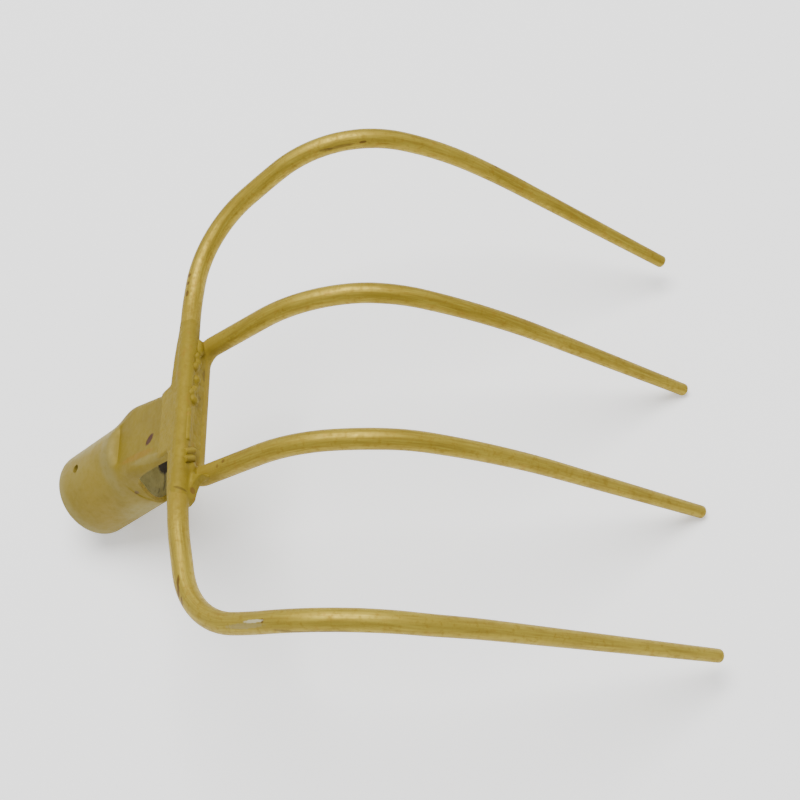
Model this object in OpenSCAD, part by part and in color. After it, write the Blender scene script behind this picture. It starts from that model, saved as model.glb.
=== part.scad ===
// Four-tine bent fork head: two rods bent into tines, welded to a formed tube socket.
// It stands as it rests on a floor, like an arch, on the ends of its middle tines
// and on the rim of its socket. Millimetres, +Z up, +Y towards the tine ends.

/* [Rods] */
// Diameter of the round rod that the tines are bent from
rod_d = 9.5; // [8:0.5:12]
// Diameter at the end of each tine
tip_d = 6.2; // [5:0.1:8]
// Length over which each tine tapers to its end
taper_len = 176; // [120:1:190]
// Radius of the rounded edge at the end of each tine
tip_round = 1.6; // [0.8:0.1:2.2]

/* [Outer rod, seen flat] */
// Half length of the straight middle, where the socket and the inner rod are welded
outer_middle = 56.1; // [52:0.1:60]
// Radius of the gentle bend at each end of the middle
outer_ease_r = 122.5; // [60:0.5:130]
// Left shoulder: distance from the centre line
left_shoulder_x = 99.6; // [92:0.1:106]
// Left shoulder: how far the rod has come forward there
left_shoulder_s = 5.2; // [2:0.1:14]
// Left shoulder: bend radius
left_shoulder_r = 47.5; // [30:0.5:54]
// Left tine: widest place, from the centre line
left_bow_x = 133.9; // [128:0.1:140]
// Left tine: where it is widest, along the tine
left_bow_s = 109.5; // [95:0.1:120]
// Left tine: end, from the centre line
left_tip_x = 104.2; // [96:0.1:112]
// Right shoulder: distance from the centre line
right_shoulder_x = 108.3; // [100:0.1:112]
// Right shoulder: how far the rod has come forward there
right_shoulder_s = 11.9; // [5:0.1:16]
// Right shoulder: bend radius
right_shoulder_r = 41.5; // [30:0.5:48]
// Right tine: widest place, from the centre line
right_bow_x = 126.5; // [122:0.5:134]
// Right tine: where it is widest, along the tine
right_bow_s = 83.1; // [76:0.1:95]
// Right tine: end, from the centre line
right_tip_x = 111.7; // [104:0.1:118]
// Radius of the long bow in the outer tines
outer_bow_r = 287; // [200:0.5:320]
// Developed length of the outer tines, from the middle of the rod to their ends
outer_tine_len = 271; // [255:1:290]

/* [Outer rod, seen from the side] */
// Angle at which the outer tines rise from the middle
outer_rise = 46.3; // [40:0.1:52]
// Straight length of the rise, before the main bend
outer_rise_len = 53.4; // [46:0.1:62]
// Radius of the main bend
outer_crest_r = 63; // [50:1:76]
// Angle at which the tines leave the main bend, below level
outer_neck = 11.5; // [8:0.5:14]
// Radius of the wide bend that follows
outer_second_r = 258.5; // [200:0.5:320]
// Angle at which the outer tines run to their ends, below level
outer_run = 19.6; // [17:0.1:24]

/* [Inner rod, seen flat] */
// Left root: distance from the centre line
left_root_x = 36.2; // [33:0.1:40]
// Right root: distance from the centre line
right_root_x = 32.5; // [30:0.5:38]
// Bend radius at both roots
root_r = 8.9; // [7.5:0.1:11]
// Both inner tines: widest place, from the centre line
inner_bow_x = 38.2; // [36:0.1:44]
// Both inner tines: where they are widest, along the tine
inner_bow_s = 91.7; // [80:0.1:100]
// Radius of the long bow in the inner tines
inner_bow_r = 288.5; // [200:0.5:400]
// Left inner tine: end, from the centre line
left_inner_tip_x = 33.6; // [30:0.1:38]
// Right inner tine: end, from the centre line
right_inner_tip_x = 34.9; // [30:0.1:38]
// Developed length of the inner tines
inner_tine_len = 274.6; // [260:0.1:290]

/* [Inner rod, seen from the side] */
// Angle at which the inner tines rise from the middle
inner_rise = 50.1; // [45:0.1:54]
// Straight length of the rise, before the main bend
inner_rise_len = 41.8; // [36:0.1:50]
// Radius of the main bend
inner_crest_r = 74; // [60:0.1:86]
// Angle at which the tines leave the main bend, below level
inner_neck = 11; // [8:0.1:14]
// Radius of the wide bend that follows
inner_second_r = 307; // [240:1:360]
// Angle at which the inner tines run to their ends, below level
inner_run = 23.1; // [20:0.1:26]
// Direction from the outer rod's middle to the inner rod's, below level
nest_angle = 49.9; // [46:0.1:54]

/* [Socket] */
// Outer diameter of the socket tube
socket_d = 44; // [40:0.5:50]
// Wall of the socket tube, the tongue and the lip
socket_wall = 2.5; // [2:0.1:3]
// Distance along the axis from the mouth to the crease where the tongue starts
crease_at = 47.3; // [47:0.1:54]
// Depth to which the bore is sized for the handle
handle_depth = 41.5; // [36:0.5:42]
// Distance along the axis from the mouth to the middle of the outer rod
socket_reach = 97.2; // [94:0.1:104]
// Height of the outer rod's axis above the tube's axis
tongue_rise = 14.4; // [13:0.1:16]
// How far the tongue's middle lies above the outer rod's axis
tongue_over = 2.2; // [1:0.1:2.5]
// Left half width of the tongue's flat where it leaves the tube
left_flat_start = 17.7; // [14:0.1:18]
// Left half width of the tongue's flat where it meets the rod
left_flat_end = 9; // [8:0.1:16]
// Right half width of the tongue's flat where it leaves the tube
right_flat_start = 13.9; // [13:0.1:18.5]
// Right half width of the tongue's flat where it meets the rod
right_flat_end = 19.3; // [14:0.1:20]
// Length over which the tube's wall is pressed down to the crease, at the tongue's middle
press_len = 4.5; // [3:0.5:4.5]
// How far before the crease the tube starts to flare on the left
left_flare_len = 12.5; // [8:0.5:14]
// How far before the crease the tube starts to flare on the right
right_flare_len = 7.5; // [7.5:0.5:14]
// How far past the crease the flares settle to the tongue's margins
flare_settle = 12; // [4:0.5:14]
// Width of the margins bent down along the tongue's edges
margin_len = 5; // [4:0.1:7]
// Angle to which they are bent down
margin_angle = 50; // [20:1:60]
// Outer radius of that bend
margin_r = 4; // [3.2:0.1:6]
// Height of the lip's slanting edge on the axis
lip_reach = 49.9; // [49:0.1:52]
// Slant of the lip's edge, longer on the tongue's side
lip_slant = 27; // [22:0.5:28]
// Least height of the lip's edge, on the side away from the tongue
lip_low = 43.1; // [43:0.1:44]
// How far the lip is turned in
lip_drop = 0.4; // [0.2:0.1:0.8]
// Angle between the fork's upright and the socket's axis
socket_lean = 33; // [28:0.5:38]
// Diameter of the hole for the nail that holds the handle
nail_d = 4.4; // [3:0.1:6]
// Distance of the nail hole from the mouth
nail_from_mouth = 15.3; // [10:0.1:22]

/* [Welds] */
// How far the weld between the tongue and the outer rod runs past the tongue's left edge
socket_weld_over = 1.2; // [0.8:0.1:3]
// How far that weld runs back over the tongue
socket_weld_back = 10; // [7:0.5:14]
// Height of its crown over the outer rod
socket_weld_crown = 0.6; // [0.3:0.1:1]
// Where the weld behind the outer rod runs out on the left, from the centre line
left_run_end = 40; // [36:1:50]
// Thickness of that weld beside the tongue
left_run_t = 3.4; // [2:0.1:3.6]
// Where the weld behind the outer rod runs out on the right, from the centre line
right_run_end = 51; // [44:1:54]
// Thickness of that weld beside the tongue
right_run_t = 2.1; // [1.5:0.1:3]
// Depth of fill of the groove between the rods, as a share of a rod's radius
groove_fill = 0.7; // [0.5:0.05:0.85]
// Length of the weld in the groove, from the centre to the left
groove_weld_len = 24; // [16:1:25]
// Length of the short tack in the groove, by the right root
tack_len = 4; // [2:0.5:6]
// How far the weld under the tongue stops short of its bent margins
under_weld_short = 1.5; // [1:0.1:4]
// How far the weld under the tongue runs back along it
under_weld_back = 4; // [2:0.5:6]
// Radius of the metal run in at each tine root
root_weld_r = 3.4; // [2.5:0.1:4]
// How far its middle stands off the outer rod's surface
root_weld_out = 0.4; // [0:0.1:1]
// Angle around the outer rod at which it lies, above level
root_weld_angle = 14; // [5:1:25]
// How far it runs outwards from the left root
left_weld_past = -0.5; // [-1.5:0.5:2]
// How far it runs outwards from the right root
right_weld_past = 5; // [2:0.5:8]
// Radius of the web outside the right root, between the tine and the outer rod
web_r = 8.5; // [6:0.5:11]
// Thickness of that web
web_t = 5; // [3:0.5:6]
// How far the web's middle lies below the outer rod's axis
web_low = 4.2; // [3:0.1:5]

/* [Hidden] */
rod_r = rod_d / 2;
tip_r = tip_d / 2;
socket_r = socket_d / 2;
bore_r = socket_r - socket_wall;
// How much wider, in radius, the tube is behind the sized bore, and the sheet left there
bore_relief = 0.3;
sheet_t = socket_wall - bore_relief;
rod_sides = 20;
ring_step = 7;
ring_turn = 12;
tip_rings = 3;
// Least distance from the rounded end to the ring before it
tip_gap = 1;
// Clearance of a weld's cut around a rod, and of a butted end
fit = 0.05;
// Depth by which the pressed wall starts inside the tube, and how far it stays inside its faces
overlap = 1.5;
seat = 0.1;
// How far a cutting shape runs past what it cuts
past = 5;

gold = [0.69, 0.58, 0.25];
gold_shade = [0.62, 0.51, 0.21];
gold_socket = [0.67, 0.60, 0.34];
gold_weld = [0.73, 0.62, 0.29];

// Seen flat, a rod is a polyline of [across, along, bend radius] with rounded corners
left_outer_plan = [
    [0, 0, 0],
    [outer_middle, 0, outer_ease_r],
    [left_shoulder_x, left_shoulder_s, left_shoulder_r],
    [left_bow_x, left_bow_s, outer_bow_r],
    [left_tip_x, outer_tine_len, 0]
];
right_outer_plan = [
    [0, 0, 0],
    [outer_middle, 0, outer_ease_r],
    [right_shoulder_x, right_shoulder_s, right_shoulder_r],
    [right_bow_x, right_bow_s, outer_bow_r],
    [right_tip_x, outer_tine_len, 0]
];
left_inner_plan = [
    [0, 0, 0],
    [left_root_x, 0, root_r],
    [inner_bow_x, inner_bow_s, inner_bow_r],
    [left_inner_tip_x, inner_tine_len, 0]
];
right_inner_plan = [
    [0, 0, 0],
    [right_root_x, 0, root_r],
    [inner_bow_x, inner_bow_s, inner_bow_r],
    [right_inner_tip_x, inner_tine_len, 0]
];

// Seen from the side, each tine is a straight rise, two bends and a straight run, as
// pieces of [length, turn in degrees per mm]
function arc(radius, turn) = [radius * abs(turn) * PI / 180, 180 / (PI * radius) * sign(turn)];
outer_side = [[outer_rise_len, 0], arc(outer_crest_r, -outer_rise - outer_neck),
              arc(outer_second_r, outer_neck - outer_run), [outer_tine_len, 0]];
inner_side = [[inner_rise_len, 0], arc(inner_crest_r, -inner_rise - inner_neck),
              arc(inner_second_r, inner_neck - inner_run), [inner_tine_len, 0]];
inner_place = rod_d * [cos(nest_angle), -sin(nest_angle)];

// A rounded polyline as the same kind of pieces
function heading(p, q) = atan2(q[1] - p[1], q[0] - p[0]);
function turn_at(v, i) = heading(v[i], v[i + 1]) - heading(v[i - 1], v[i]);
function trim_at(v, i) = i == 0 || i == len(v) - 1 ? 0 : v[i][2] * tan(abs(turn_at(v, i)) / 2);
function span(p, q) = norm([q[0] - p[0], q[1] - p[1]]);
function pieces(v) = [
    for (i = [0 : len(v) - 2])
        each concat(
            [[span(v[i], v[i + 1]) - trim_at(v, i) - trim_at(v, i + 1), 0]],
            i < len(v) - 2 ? [arc(v[i + 1][2], turn_at(v, i + 1))] : [])
];

// Moves [place, place, heading] along one piece
function advance(p, length, turn) =
    turn == 0
    ? [p[0] + length * cos(p[2]), p[1] + length * sin(p[2]), p[2]]
    : let (h = p[2] + turn * length, r = 180 / (PI * turn))
      [p[0] + r * (sin(h) - sin(p[2])), p[1] - r * (cos(h) - cos(p[2])), h];
function walk(s, p, list, i = 0) =
    i == len(list) - 1 || s <= list[i][0]
    ? advance(p, s, list[i][1])
    : walk(s - list[i][0], advance(p, list[i][0], list[i][1]), list, i + 1);

// Lengths along the pieces where rings stand, closer in bends and at the rounded end
function total(list, n) = n == 0 ? 0 : list[n - 1][0] + total(list, n - 1);
function steps_in(piece) = max(ceil(piece[0] / ring_step), ceil(abs(piece[0] * piece[1]) / ring_turn));
function stations(list) = concat(
    [for (i = [0 : len(list) - 1])
        let (n = steps_in(list[i]), start = total(list, i))
        for (k = [0 : n - 1])
            let (s = start + list[i][0] * k / n)
            if (s < total(list, len(list)) - tip_round - tip_gap) s],
    [for (k = [0 : tip_rings]) total(list, len(list)) - tip_round * (1 - sin(90 * k / tip_rings))]);

// Radius at a distance from the tine's end
function edge_inset(left) = left >= tip_round ? 0 : tip_round - sqrt(tip_round ^ 2 - (tip_round - left) ^ 2);
function radius_at(left) =
    left > taper_len ? rod_r : tip_r + (rod_r - tip_r) * left / taper_len - edge_inset(left);

// A station of a tine: [centre, normal of the bent sheet, its other direction, radius]
function tine_station(s, plan, side, rise, length, place, hand) =
    let (flat = walk(s, [0, 0, 0], plan))
    let (bent = walk(flat[1], [place[0], place[1], rise], side))
    let (up = [0, -sin(bent[2]), cos(bent[2])])
    let (along = [0, cos(bent[2]), sin(bent[2])])
    [[hand * flat[0], bent[0], bent[1]],
     up,
     [-hand * sin(flat[2]), 0, 0] + cos(flat[2]) * along,
     radius_at(length - s)];
function half_rod(line, side, rise, place, hand) =
    let (plan = pieces(line), length = total(plan, len(plan)))
    [for (s = stations(plan)) tine_station(s, plan, side, rise, length, place, hand)];
function backwards(list) = [for (i = [len(list) - 1 : -1 : 0]) list[i]];
function from(list, first) = [for (i = [first : len(list) - 1]) list[i]];
function whole_rod(left, right, side, rise, place) = concat(
    backwards(half_rod(left, side, rise, place, -1)),
    from(half_rod(right, side, rise, place, 1), 1));
function ring(station) = [
    for (k = [0 : rod_sides - 1])
        let (a = 360 * (k + 0.5) / rod_sides)
        station[0] + station[3] * (cos(a) * station[1] + sin(a) * station[2])
];

// A closed solid through rings of equal count, with its ends capped by a ladder of faces
module skin(rings) {
    n = len(rings[0]);
    m = len(rings);
    sides = [
        for (i = [0 : m - 2], j = [0 : n - 1])
            let (a = i * n + j, b = i * n + (j + 1) % n)
            each [[a, b, a + n], [b, b + n, a + n]]
    ];
    first = [for (j = [0 : n / 2 - 2]) each [[j, n - 2 - j, j + 1], [j, n - 1 - j, n - 2 - j]]];
    last = [for (f = first) [for (k = [2 : -1 : 0]) f[k] + (m - 1) * n]];
    polyhedron(points = [for (r = rings) each r], faces = concat(sides, first, last));
}

outer_rod = whole_rod(left_outer_plan, right_outer_plan, outer_side, outer_rise, [0, 0]);
inner_rod = whole_rod(left_inner_plan, right_inner_plan, inner_side, inner_rise, inner_place);

// The socket's own frame: +Z from the mouth along the axis, -Y on the tongue's side
socket_turn = -socket_lean;
socket_back = [0, tongue_rise, -socket_reach];
function from_socket(y, z) =
    [(y + socket_back[1]) * cos(socket_turn) - (z + socket_back[2]) * sin(socket_turn),
     (y + socket_back[1]) * sin(socket_turn) + (z + socket_back[2]) * cos(socket_turn)];

// The fork rests on the rim's low point and on the rounded edge of the lowest tine's end
rim = from_socket(socket_r, 0);
function edge_middle(plan, side, rise, place) =
    let (list = pieces(plan), length = total(list, len(list)))
    let (s = tine_station(length - tip_round, list, side, rise, length, place, 1))
    [s[0][1], s[0][2]] - (s[3] - tip_round) * [s[1][1], s[1][2]];
feet = [
    edge_middle(left_outer_plan, outer_side, outer_rise, [0, 0]),
    edge_middle(right_outer_plan, outer_side, outer_rise, [0, 0]),
    edge_middle(left_inner_plan, inner_side, inner_rise, inner_place),
    edge_middle(right_inner_plan, inner_side, inner_rise, inner_place)
];
rest_tilt = -min([for (f = feet) heading(rim, f) - asin(tip_round / span(rim, f))]);
function tilted(p) = [p[0] * cos(rest_tilt) - p[1] * sin(rest_tilt),
                      p[0] * sin(rest_tilt) + p[1] * cos(rest_tilt)];
floor_z = tilted(rim)[1];
back_y = tilted(from_socket(-socket_r, 0))[0];
front_y = max([for (rod = [outer_rod, inner_rod], i = [0 : tip_rings])
               for (p = concat(ring(rod[i]), ring(rod[len(rod) - 1 - i]))) tilted([p[1], p[2]])[0]]);
left_x = min([for (s = outer_rod) s[0][0] - s[3] * abs(s[2][0])]);
right_x = max([for (s = outer_rod) s[0][0] + s[3] * abs(s[2][0])]);

module at_rest() {
    translate([-(left_x + right_x) / 2, -(back_y + front_y) / 2, -floor_z])
        rotate([rest_tilt, 0, 0])
            children();
}

module in_socket() {
    rotate([socket_turn, 0, 0])
        translate(socket_back)
            children();
}

// A prism along X of a section drawn in the fork's side view
module across(from_x, to_x) {
    translate([from_x, 0, 0])
        rotate([90, 0, 90])
            linear_extrude(height = to_x - from_x)
                children();
}

// The outer rod's straight middle, as a cutter
module outer_middle_cut() {
    rotate([0, 90, 0])
        cylinder(r = rod_r + fit, h = 2 * outer_middle, center = true, $fn = 64);
}

// The inner rod's middle, one root bend and the start of its tine, as a cutter whose
// straight parts are a little wider than its bend
module inner_root_cut(root_x, hand) {
    lean = heading([root_x, 0], [inner_bow_x, inner_bow_s]);
    bend_x = root_x - root_r * tan(lean / 2);
    bend_r = rod_r + fit;
    straight_r = rod_r + 2 * fit;
    lap = 0.4;
    translate([0, inner_place[0], inner_place[1]])
        rotate([inner_rise, 0, 0])
            mirror([hand < 0 ? 1 : 0, 0, 0]) {
                rotate([0, 90, 0])
                    cylinder(r = straight_r, h = bend_x + lap, $fn = 64);
                translate([bend_x, root_r, 0])
                    intersection() {
                        rotate_extrude($fn = 96)
                            translate([root_r, 0])
                                circle(r = bend_r, $fn = 64);
                        translate([0, -2 * root_r, -root_r])
                            cube([2 * root_r, 2 * root_r, 2 * root_r]);
                    }
                translate([root_x, 0, 0])
                    rotate([0, 0, lean])
                        translate([root_r * tan(lean / 2) - lap, 0, 0])
                            rotate([0, 90, 0])
                                cylinder(r = straight_r, h = 4 * rod_d, $fn = 64);
            }
}

// The pressed end of the socket: the tongue over one side, a turned-in lip round the rest
tongue_edge = 60;
lip_edge = 74;
corner_turn = 10;
// Angle of the lip's middle, opposite the tongue, and the least length of the lip
lip_middle = 180;
lip_least = 0.7;
// Angles from the tongue's middle at which the flares begin and are full
flare_from = 25;
flare_full = 48;
press_steps = 5;
strip_steps = 12;
tongue_top = tongue_rise + tongue_over + sheet_t / 2;
tongue_start = crease_at;
tongue_end = socket_reach - rod_r - fit;
function smooth(t) = let (c = min(1, max(0, t))) c * c * (3 - 2 * c);
function lip_z(angle) = max(lip_low, lip_reach + tan(lip_slant) * socket_r * cos(angle));
function crease_z(angle) = min(crease_at, lip_z(angle) - lip_least);

// The round tube ends at a plane, before the crease under the tongue and at it in the lip's middle
tube_top = crease_at - press_len;
tube_low = crease_z(lip_middle);
tube_len = (tube_top + tube_low) / 2;
tube_slant = atan((tube_top - tube_low) / socket_d);
function tube_z(angle) = tube_len + tan(tube_slant) * socket_r * cos(angle);
function tongue_share(angle) = 1 - smooth((abs(angle) - tongue_edge) / (lip_edge - tongue_edge));
function strip_end(angle) =
    lip_z(angle) + (tongue_end - lip_z(angle)) * (1 - min(1, max(0, (abs(angle) - tongue_edge) / corner_turn))) ^ 3;

// Half width of the tongue's flat at a height along the tube, on one side
function flat_half(z, side) =
    let (share = min(1, max(0, (z - tongue_start) / (tongue_end - tongue_start))))
    side < 0 ? left_flat_start + (left_flat_end - left_flat_start) * share
             : right_flat_start + (right_flat_end - right_flat_start) * share;

// A point across the tongue: its flat, the bend along its edge and the bent margin
function across_tongue(angle, z, depth) =
    let (side = angle < 0 ? -1 : 1, flat = flat_half(z, side))
    let (along = (flat + margin_len) * abs(angle) / tongue_edge - flat)
    let (turn = min(margin_angle, max(0, along) * 180 / (PI * margin_r)))
    let (left = max(0, along - margin_r * margin_angle * PI / 180))
    [side * (flat + min(0, along) + (margin_r - depth) * sin(turn) + left * cos(turn)),
     tongue_top - margin_r + (margin_r - depth) * cos(turn) - left * sin(turn)];
function flare_share(angle) = smooth((abs(angle) - flare_from) / (flare_full - flare_from));
function press_start(angle) =
    let (side_len = angle < 0 ? left_flare_len : right_flare_len)
    crease_z(angle) - press_len - (side_len - press_len) * flare_share(angle);
function press_share(angle, z) =
    let (start = press_start(angle), end = crease_z(angle) + flare_settle * flare_share(angle))
    let (t = min(1, max(0, (z - start) / (end - start))))
    t ^ 2 + (smooth(t) - t ^ 2) * flare_share(angle);
function pressed(angle, z, depth) =
    let (gone = z - crease_z(angle), lip_len = strip_end(lip_middle) - crease_z(lip_middle))
    let (flat = press_share(angle, z))
    let (round = (socket_r - depth) * [sin(angle), cos(angle)])
    let (plate = across_tongue(angle, z, depth))
    let (lip = (socket_r - depth - lip_drop * smooth(gone / lip_len)) * [sin(angle), cos(angle)])
    let (share = tongue_share(angle))
    share * (round + flat * (plate - round)) + (1 - share) * lip;
function strip_point(angle, k, depth) =
    let (start = min(press_start(angle), tube_z(angle)) - overlap)
    let (z = k < 0 ? crease_z(angle) + (crease_z(angle) - start) * k / press_steps
                   : crease_z(angle) + (strip_end(angle) - crease_z(angle)) * (k / strip_steps) ^ 1.5)
    let (p = pressed(angle, z, depth))
    [p[0], -p[1], z];
function strip_ring(angle) = concat(
    [for (k = [-press_steps : strip_steps]) strip_point(angle, k, seat)],
    [for (k = [strip_steps : -1 : -press_steps]) strip_point(angle, k, sheet_t - seat)]);
strip_angles = concat([for (a = [-177 : 8 : -81]) a], [for (a = [-76 : 2 : -44]) a],
                      [for (a = [-36 : 8 : 36]) a], [for (a = [44 : 2 : 76]) a],
                      [for (a = [81 : 8 : 177]) a]);

// A closed band through rings of equal count, the last joined to the first
module band(rings) {
    n = len(rings[0]);
    m = len(rings);
    polyhedron(
        points = [for (r = rings) each r],
        faces = [
            for (i = [0 : m - 1], j = [0 : n - 1])
                let (a = i * n + j, b = i * n + (j + 1) % n)
                let (c = ((i + 1) % m) * n + j, d = ((i + 1) % m) * n + (j + 1) % n)
                each [[a, b, c], [b, d, c]]
        ]);
}

module socket() {
    color(gold_socket)
        at_rest() in_socket() {
            difference() {
                cylinder(r = socket_r, h = 2 * tube_len, $fn = 128);
                translate([0, 0, -past])
                    cylinder(r = bore_r, h = handle_depth + 2 * past, $fn = 128);
                translate([0, 0, handle_depth])
                    cylinder(r = bore_r + bore_relief, h = 2 * tube_len, $fn = 128);
                translate([0, 0, tube_len])
                    rotate([-tube_slant, 0, 0])
                        translate([-socket_d, -socket_d, 0])
                            cube([2 * socket_d, 2 * socket_d, 2 * tube_len]);
                translate([0, 0, nail_from_mouth])
                    rotate([90, 0, 0])
                        cylinder(d = nail_d, h = socket_d, $fn = 48);
            }
            band([for (a = strip_angles) strip_ring(a)]);
        }
}

module outer_tine_rod() {
    color(gold)
        at_rest() skin([for (s = outer_rod) ring(s)]);
}

module inner_tine_rod() {
    color(gold_shade)
        at_rest() skin([for (s = inner_rod) ring(s)]);
}

// A run of weld behind the outer rod, from beside the tongue to where it dies out
module weld_run(start, end, thickness, hand) {
    lean = atan(thickness / (end - start));
    rotate([socket_turn, 0, 0])
        mirror([hand < 0 ? 0 : 1, 0, 0])
            translate([-end, 0, 0])
                rotate([0, 90 + lean, 0])
                    cylinder(r = rod_r, h = end - start, $fn = 64);
}

// How far the bent margins reach out past the tongue's flat
margin_out = across_tongue(tongue_edge, tongue_end, 0)[0] - right_flat_end;

// Fillet metal from the tongue up over the outer rod, running out behind it on the left
module socket_weld() {
    plate_top = tongue_over + sheet_t / 2 + fit;
    ridge = 0.39 * rod_r;
    crown = rod_r + socket_weld_crown;
    left_end = left_flat_end + margin_out + socket_weld_over;
    color(gold_weld)
        at_rest() difference() {
            union() {
                rotate([socket_turn, 0, 0])
                    translate([right_flat_end, 0, 0])
                        rotate([0, -90, 0])
                            linear_extrude(height = left_end + right_flat_end)
                                polygon([[-socket_weld_back, -plate_top],
                                         [-0.67 * rod_r, -0.9 * rod_r],
                                         [0, -crown],
                                         [ridge, -sqrt(crown ^ 2 - ridge ^ 2)],
                                         [0, -plate_top]]);
                weld_run(left_flat_end + margin_out + fit, left_run_end, left_run_t, -1);
            }
            outer_middle_cut();
        }
}

// Weld from the tongue's right corner along the back of the outer rod
module side_weld() {
    color(gold_weld)
        at_rest() difference() {
            weld_run(right_flat_end + margin_out + fit, right_run_end, right_run_t, 1);
            outer_middle_cut();
        }
}

// Weld in the pocket under the tongue, between it and both rods
module under_weld() {
    inner_y = inner_place[0];
    inner_z = inner_place[1];
    // The inner rod's middle in the socket's own directions
    along = inner_y * sin(-socket_turn) + inner_z * cos(socket_turn);
    down = inner_y * cos(socket_turn) + inner_z * sin(socket_turn);
    tongue_under = sheet_t / 2 + fit - tongue_over;
    color(gold_weld)
        at_rest() difference() {
            rotate([socket_turn, 0, 0])
                translate([right_flat_end - under_weld_short, 0, 0])
                    rotate([0, -90, 0])
                        linear_extrude(height = left_flat_end + right_flat_end - 2 * under_weld_short)
                            polygon([[-rod_r - under_weld_back, tongue_under],
                                     [0, tongue_under],
                                     [along, down],
                                     [along - 0.9 * rod_r, down - 0.3 * rod_r]]);
            outer_middle_cut();
            translate([0, inner_y, inner_z])
                rotate([0, 90, 0])
                    cylinder(r = rod_r + fit, h = 2 * outer_middle, center = true, $fn = 64);
        }
}

// Section of the groove between the two rods, filled to its share of a rod's radius
module groove_section() {
    face = rod_r * groove_fill * [sin(nest_angle), cos(nest_angle)];
    difference() {
        polygon([[0, 0], inner_place, inner_place + face, face]);
        circle(r = rod_r + fit, $fn = 64);
        translate(inner_place)
            circle(r = rod_r + fit, $fn = 64);
    }
}

module groove_weld() {
    color(gold_weld)
        at_rest() across(-groove_weld_len, 0) groove_section();
}

module groove_tack() {
    end = right_root_x - root_r - fit;
    color(gold_weld)
        at_rest() across(end - tack_len, end) groove_section();
}

// Metal run into the corner between a tine's root and the front of the outer rod
module root_weld(root_x, hand, past_root, web) {
    start = root_x - root_r + fit + root_weld_r;
    end = root_x + past_root;
    place = (rod_r + root_weld_out) * [cos(root_weld_angle), sin(root_weld_angle)];
    difference() {
        union() {
            translate([0, place[0], place[1]]) {
                translate([hand * start, 0, 0])
                    sphere(r = root_weld_r, $fn = 48);
                translate([hand * start, 0, 0])
                    rotate([0, 90 * hand, 0])
                        cylinder(r = root_weld_r, h = end - start, $fn = 48);
                translate([hand * end, 0, 0])
                    sphere(r = root_weld_r, $fn = 48);
            }
            if (web)
                rotate([inner_rise, 0, 0])
                    translate([0, 0, -web_low - web_t / 2])
                        linear_extrude(height = web_t)
                            difference() {
                                translate([root_x, 0])
                                    square([rod_r + web_r, rod_r + web_r]);
                                translate([root_x + rod_r + web_r, rod_r + web_r])
                                    circle(r = web_r, $fn = 96);
                            }
        }
        outer_middle_cut();
        inner_root_cut(root_x, hand);
    }
}

module left_root_weld() {
    color(gold_weld)
        at_rest() root_weld(left_root_x, -1, left_weld_past, false);
}

module right_root_weld() {
    color(gold_weld)
        at_rest() root_weld(right_root_x, 1, right_weld_past, true);
}

socket();
outer_tine_rod();
inner_tine_rod();
socket_weld();
side_weld();
under_weld();
groove_weld();
groove_tack();
left_root_weld();
right_root_weld();
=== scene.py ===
import math

import bpy
from mathutils import Matrix, Vector


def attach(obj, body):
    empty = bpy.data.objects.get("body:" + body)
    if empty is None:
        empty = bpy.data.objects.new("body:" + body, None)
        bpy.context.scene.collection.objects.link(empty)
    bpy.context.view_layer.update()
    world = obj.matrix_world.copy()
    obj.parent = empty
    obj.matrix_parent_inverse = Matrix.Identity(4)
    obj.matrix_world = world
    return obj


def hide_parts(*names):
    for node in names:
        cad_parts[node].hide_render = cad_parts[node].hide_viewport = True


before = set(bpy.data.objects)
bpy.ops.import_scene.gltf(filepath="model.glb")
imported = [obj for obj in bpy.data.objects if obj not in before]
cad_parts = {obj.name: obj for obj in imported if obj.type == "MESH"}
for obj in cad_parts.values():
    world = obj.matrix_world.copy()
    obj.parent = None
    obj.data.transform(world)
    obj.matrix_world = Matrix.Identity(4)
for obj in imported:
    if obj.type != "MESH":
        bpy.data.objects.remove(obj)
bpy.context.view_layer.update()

# Sizes in millimetres and turns in degrees, as in the part's source
MM = 0.001

# The rods: stock, the taper at each tine's end, and the rounding of its tip
ROD_R = 4.75
TIP_R = 3.1
TAPER = 176
TIP_ROUND = 1.6
ROD_SIDES = 40
TIP_RINGS = 6

# Half of each rod from its middle outwards, seen flat: corners (across, along, bend radius)
OUTER_LEFT = [(0, 0, 0), (56.1, 0, 122.5), (99.6, 5.2, 47.5), (133.9, 109.5, 287), (104.2, 271, 0)]
OUTER_RIGHT = [(0, 0, 0), (56.1, 0, 122.5), (108.3, 11.9, 41.5), (126.5, 83.1, 287), (111.7, 271, 0)]
# The same rod seen from the side: rise, its length, crest's radius, the slope where the crest ends,
# the next bend's radius, the slope of the tine's straight, its length
OUTER_SIDE = (46.3, 53.4, 63, 11.5, 258.5, 19.6, 271)
INNER_LEFT = [(0, 0, 0), (36.2, 0, 8.9), (38.2, 91.7, 288.5), (33.6, 274.6, 0)]
INNER_RIGHT = [(0, 0, 0), (32.5, 0, 8.9), (38.2, 91.7, 288.5), (34.9, 274.6, 0)]
INNER_SIDE = (50.1, 41.8, 74, 11, 307, 23.1, 274.6)
# The inner rod's middle lies against the outer one, this far round under its front
NEST = 49.9
INNER_AT = (2 * ROD_R * math.cos(math.radians(NEST)), -2 * ROD_R * math.sin(math.radians(NEST)))

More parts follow.
